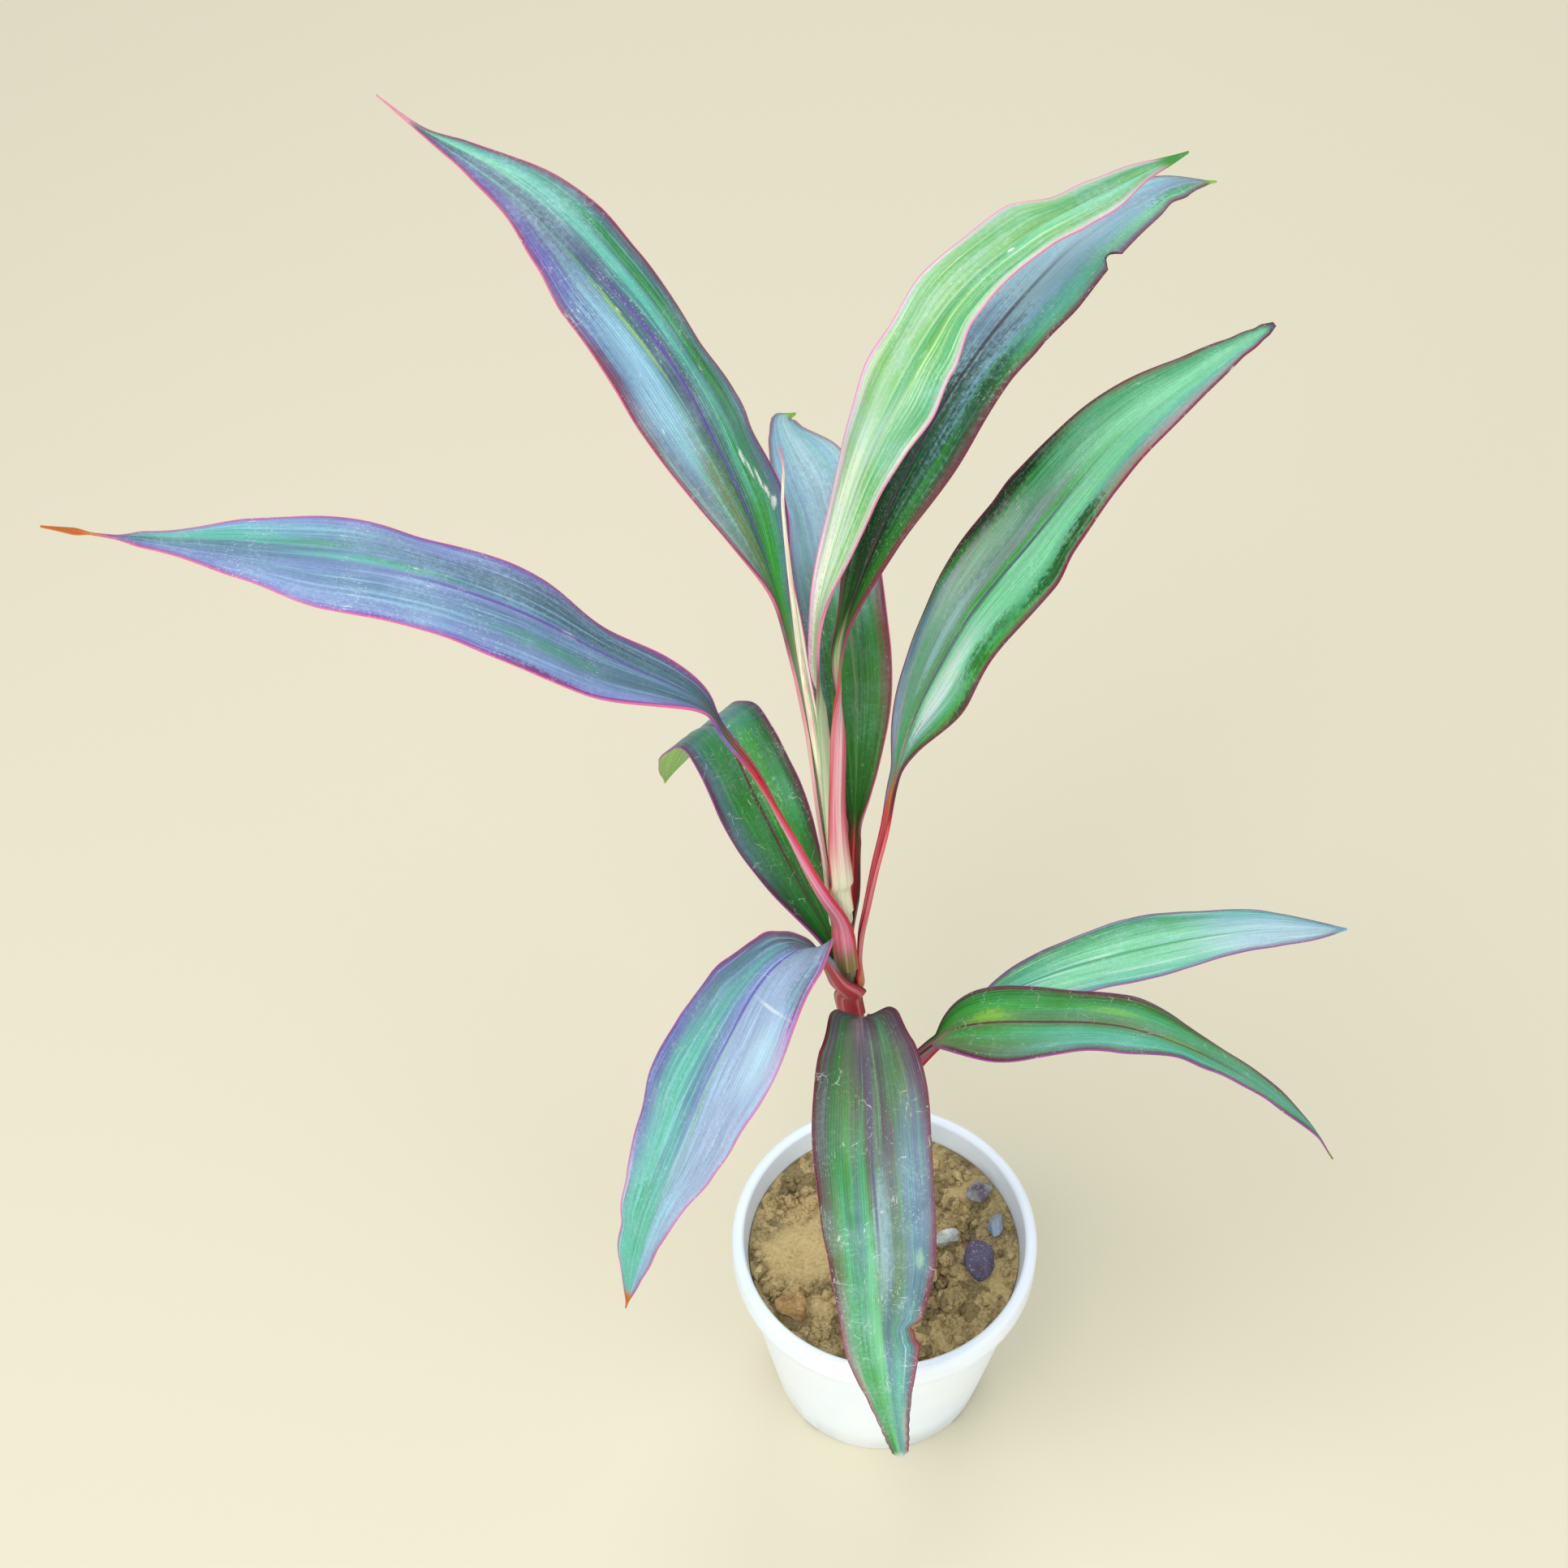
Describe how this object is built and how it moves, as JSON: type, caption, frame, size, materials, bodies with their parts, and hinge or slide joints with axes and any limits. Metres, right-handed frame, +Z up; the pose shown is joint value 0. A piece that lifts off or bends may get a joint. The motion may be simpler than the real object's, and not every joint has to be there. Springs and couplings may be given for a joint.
{
  "type": "potted rosea dracaena",
  "caption": "Young rosea dracaena with striped, pink-edged strap leaves on a slim leaning cane, growing in a white plastic nursery pot of soil.",
  "frame": {"origin": "centre of the pot's base, on the surface that the pot stands on", "axes": "+Z up along the pot's axis; -Y towards the side where one leaf hangs down over the rim; the shoot leans towards -X"},
  "size_m": [0.4416, 0.2196, 0.6174],
  "materials": {
    "pot": "white moulded plastic, satin, dusty at the foot",
    "soil": "dry sandy loam with crumbs",
    "cane": "olive-brown bark with ring scars",
    "spear": "pale pink rolled young leaf",
    "stone_pale": "rough",
    "stone_dark": "rough, broken faces",
    "stone_flake": "rough",
    "stone_lump": "rough",
    "stone_clod": "crumbly dry earth",
    "leaf_far_left": "satin leaf, blue-violet sheen, pink-red margin",
    "leaf_upper_left": "satin leaf, teal and lavender stripes, magenta midrib",
    "leaf_crown_pale": "satin leaf, pale green with lilac-pink margins",
    "leaf_crown_dark": "satin leaf, deep green with blue sheen and maroon margin",
    "leaf_upper_right": "satin leaf, grey-green with maroon margin",
    "leaf_back_hooked": "satin leaf, dark green with maroon margin and hooked yellow-green tip",
    "leaf_back_folded": "satin leaf, dark green, purple margin",
    "leaf_drooping_left": "satin leaf, pale teal-blue with pink margins",
    "leaf_drooping_front": "satin leaf, olive-purple crest, green streaks, white scuffs",
    "leaf_right_pale": "satin leaf, pale green to whitish blue",
    "leaf_right_low": "satin leaf, green with yellow-green spots and maroon margins"
  },
  "bodies": {
    "root": {"pot": "pot", "soil": "soil", "cane": "cane", "spear": "spear", "stone_pale": "stone_pale", "stone_dark": "stone_dark", "stone_flake": "stone_flake", "stone_lump": "stone_lump", "stone_clod": "stone_clod", "leaf_far_left": "leaf_far_left", "leaf_upper_left": "leaf_upper_left", "leaf_crown_pale": "leaf_crown_pale", "leaf_crown_dark": "leaf_crown_dark", "leaf_upper_right": "leaf_upper_right", "leaf_back_hooked": "leaf_back_hooked", "leaf_back_folded": "leaf_back_folded", "leaf_drooping_left": "leaf_drooping_left", "leaf_drooping_front": "leaf_drooping_front", "leaf_right_pale": "leaf_right_pale", "leaf_right_low": "leaf_right_low"}
  },
  "joints": []
}
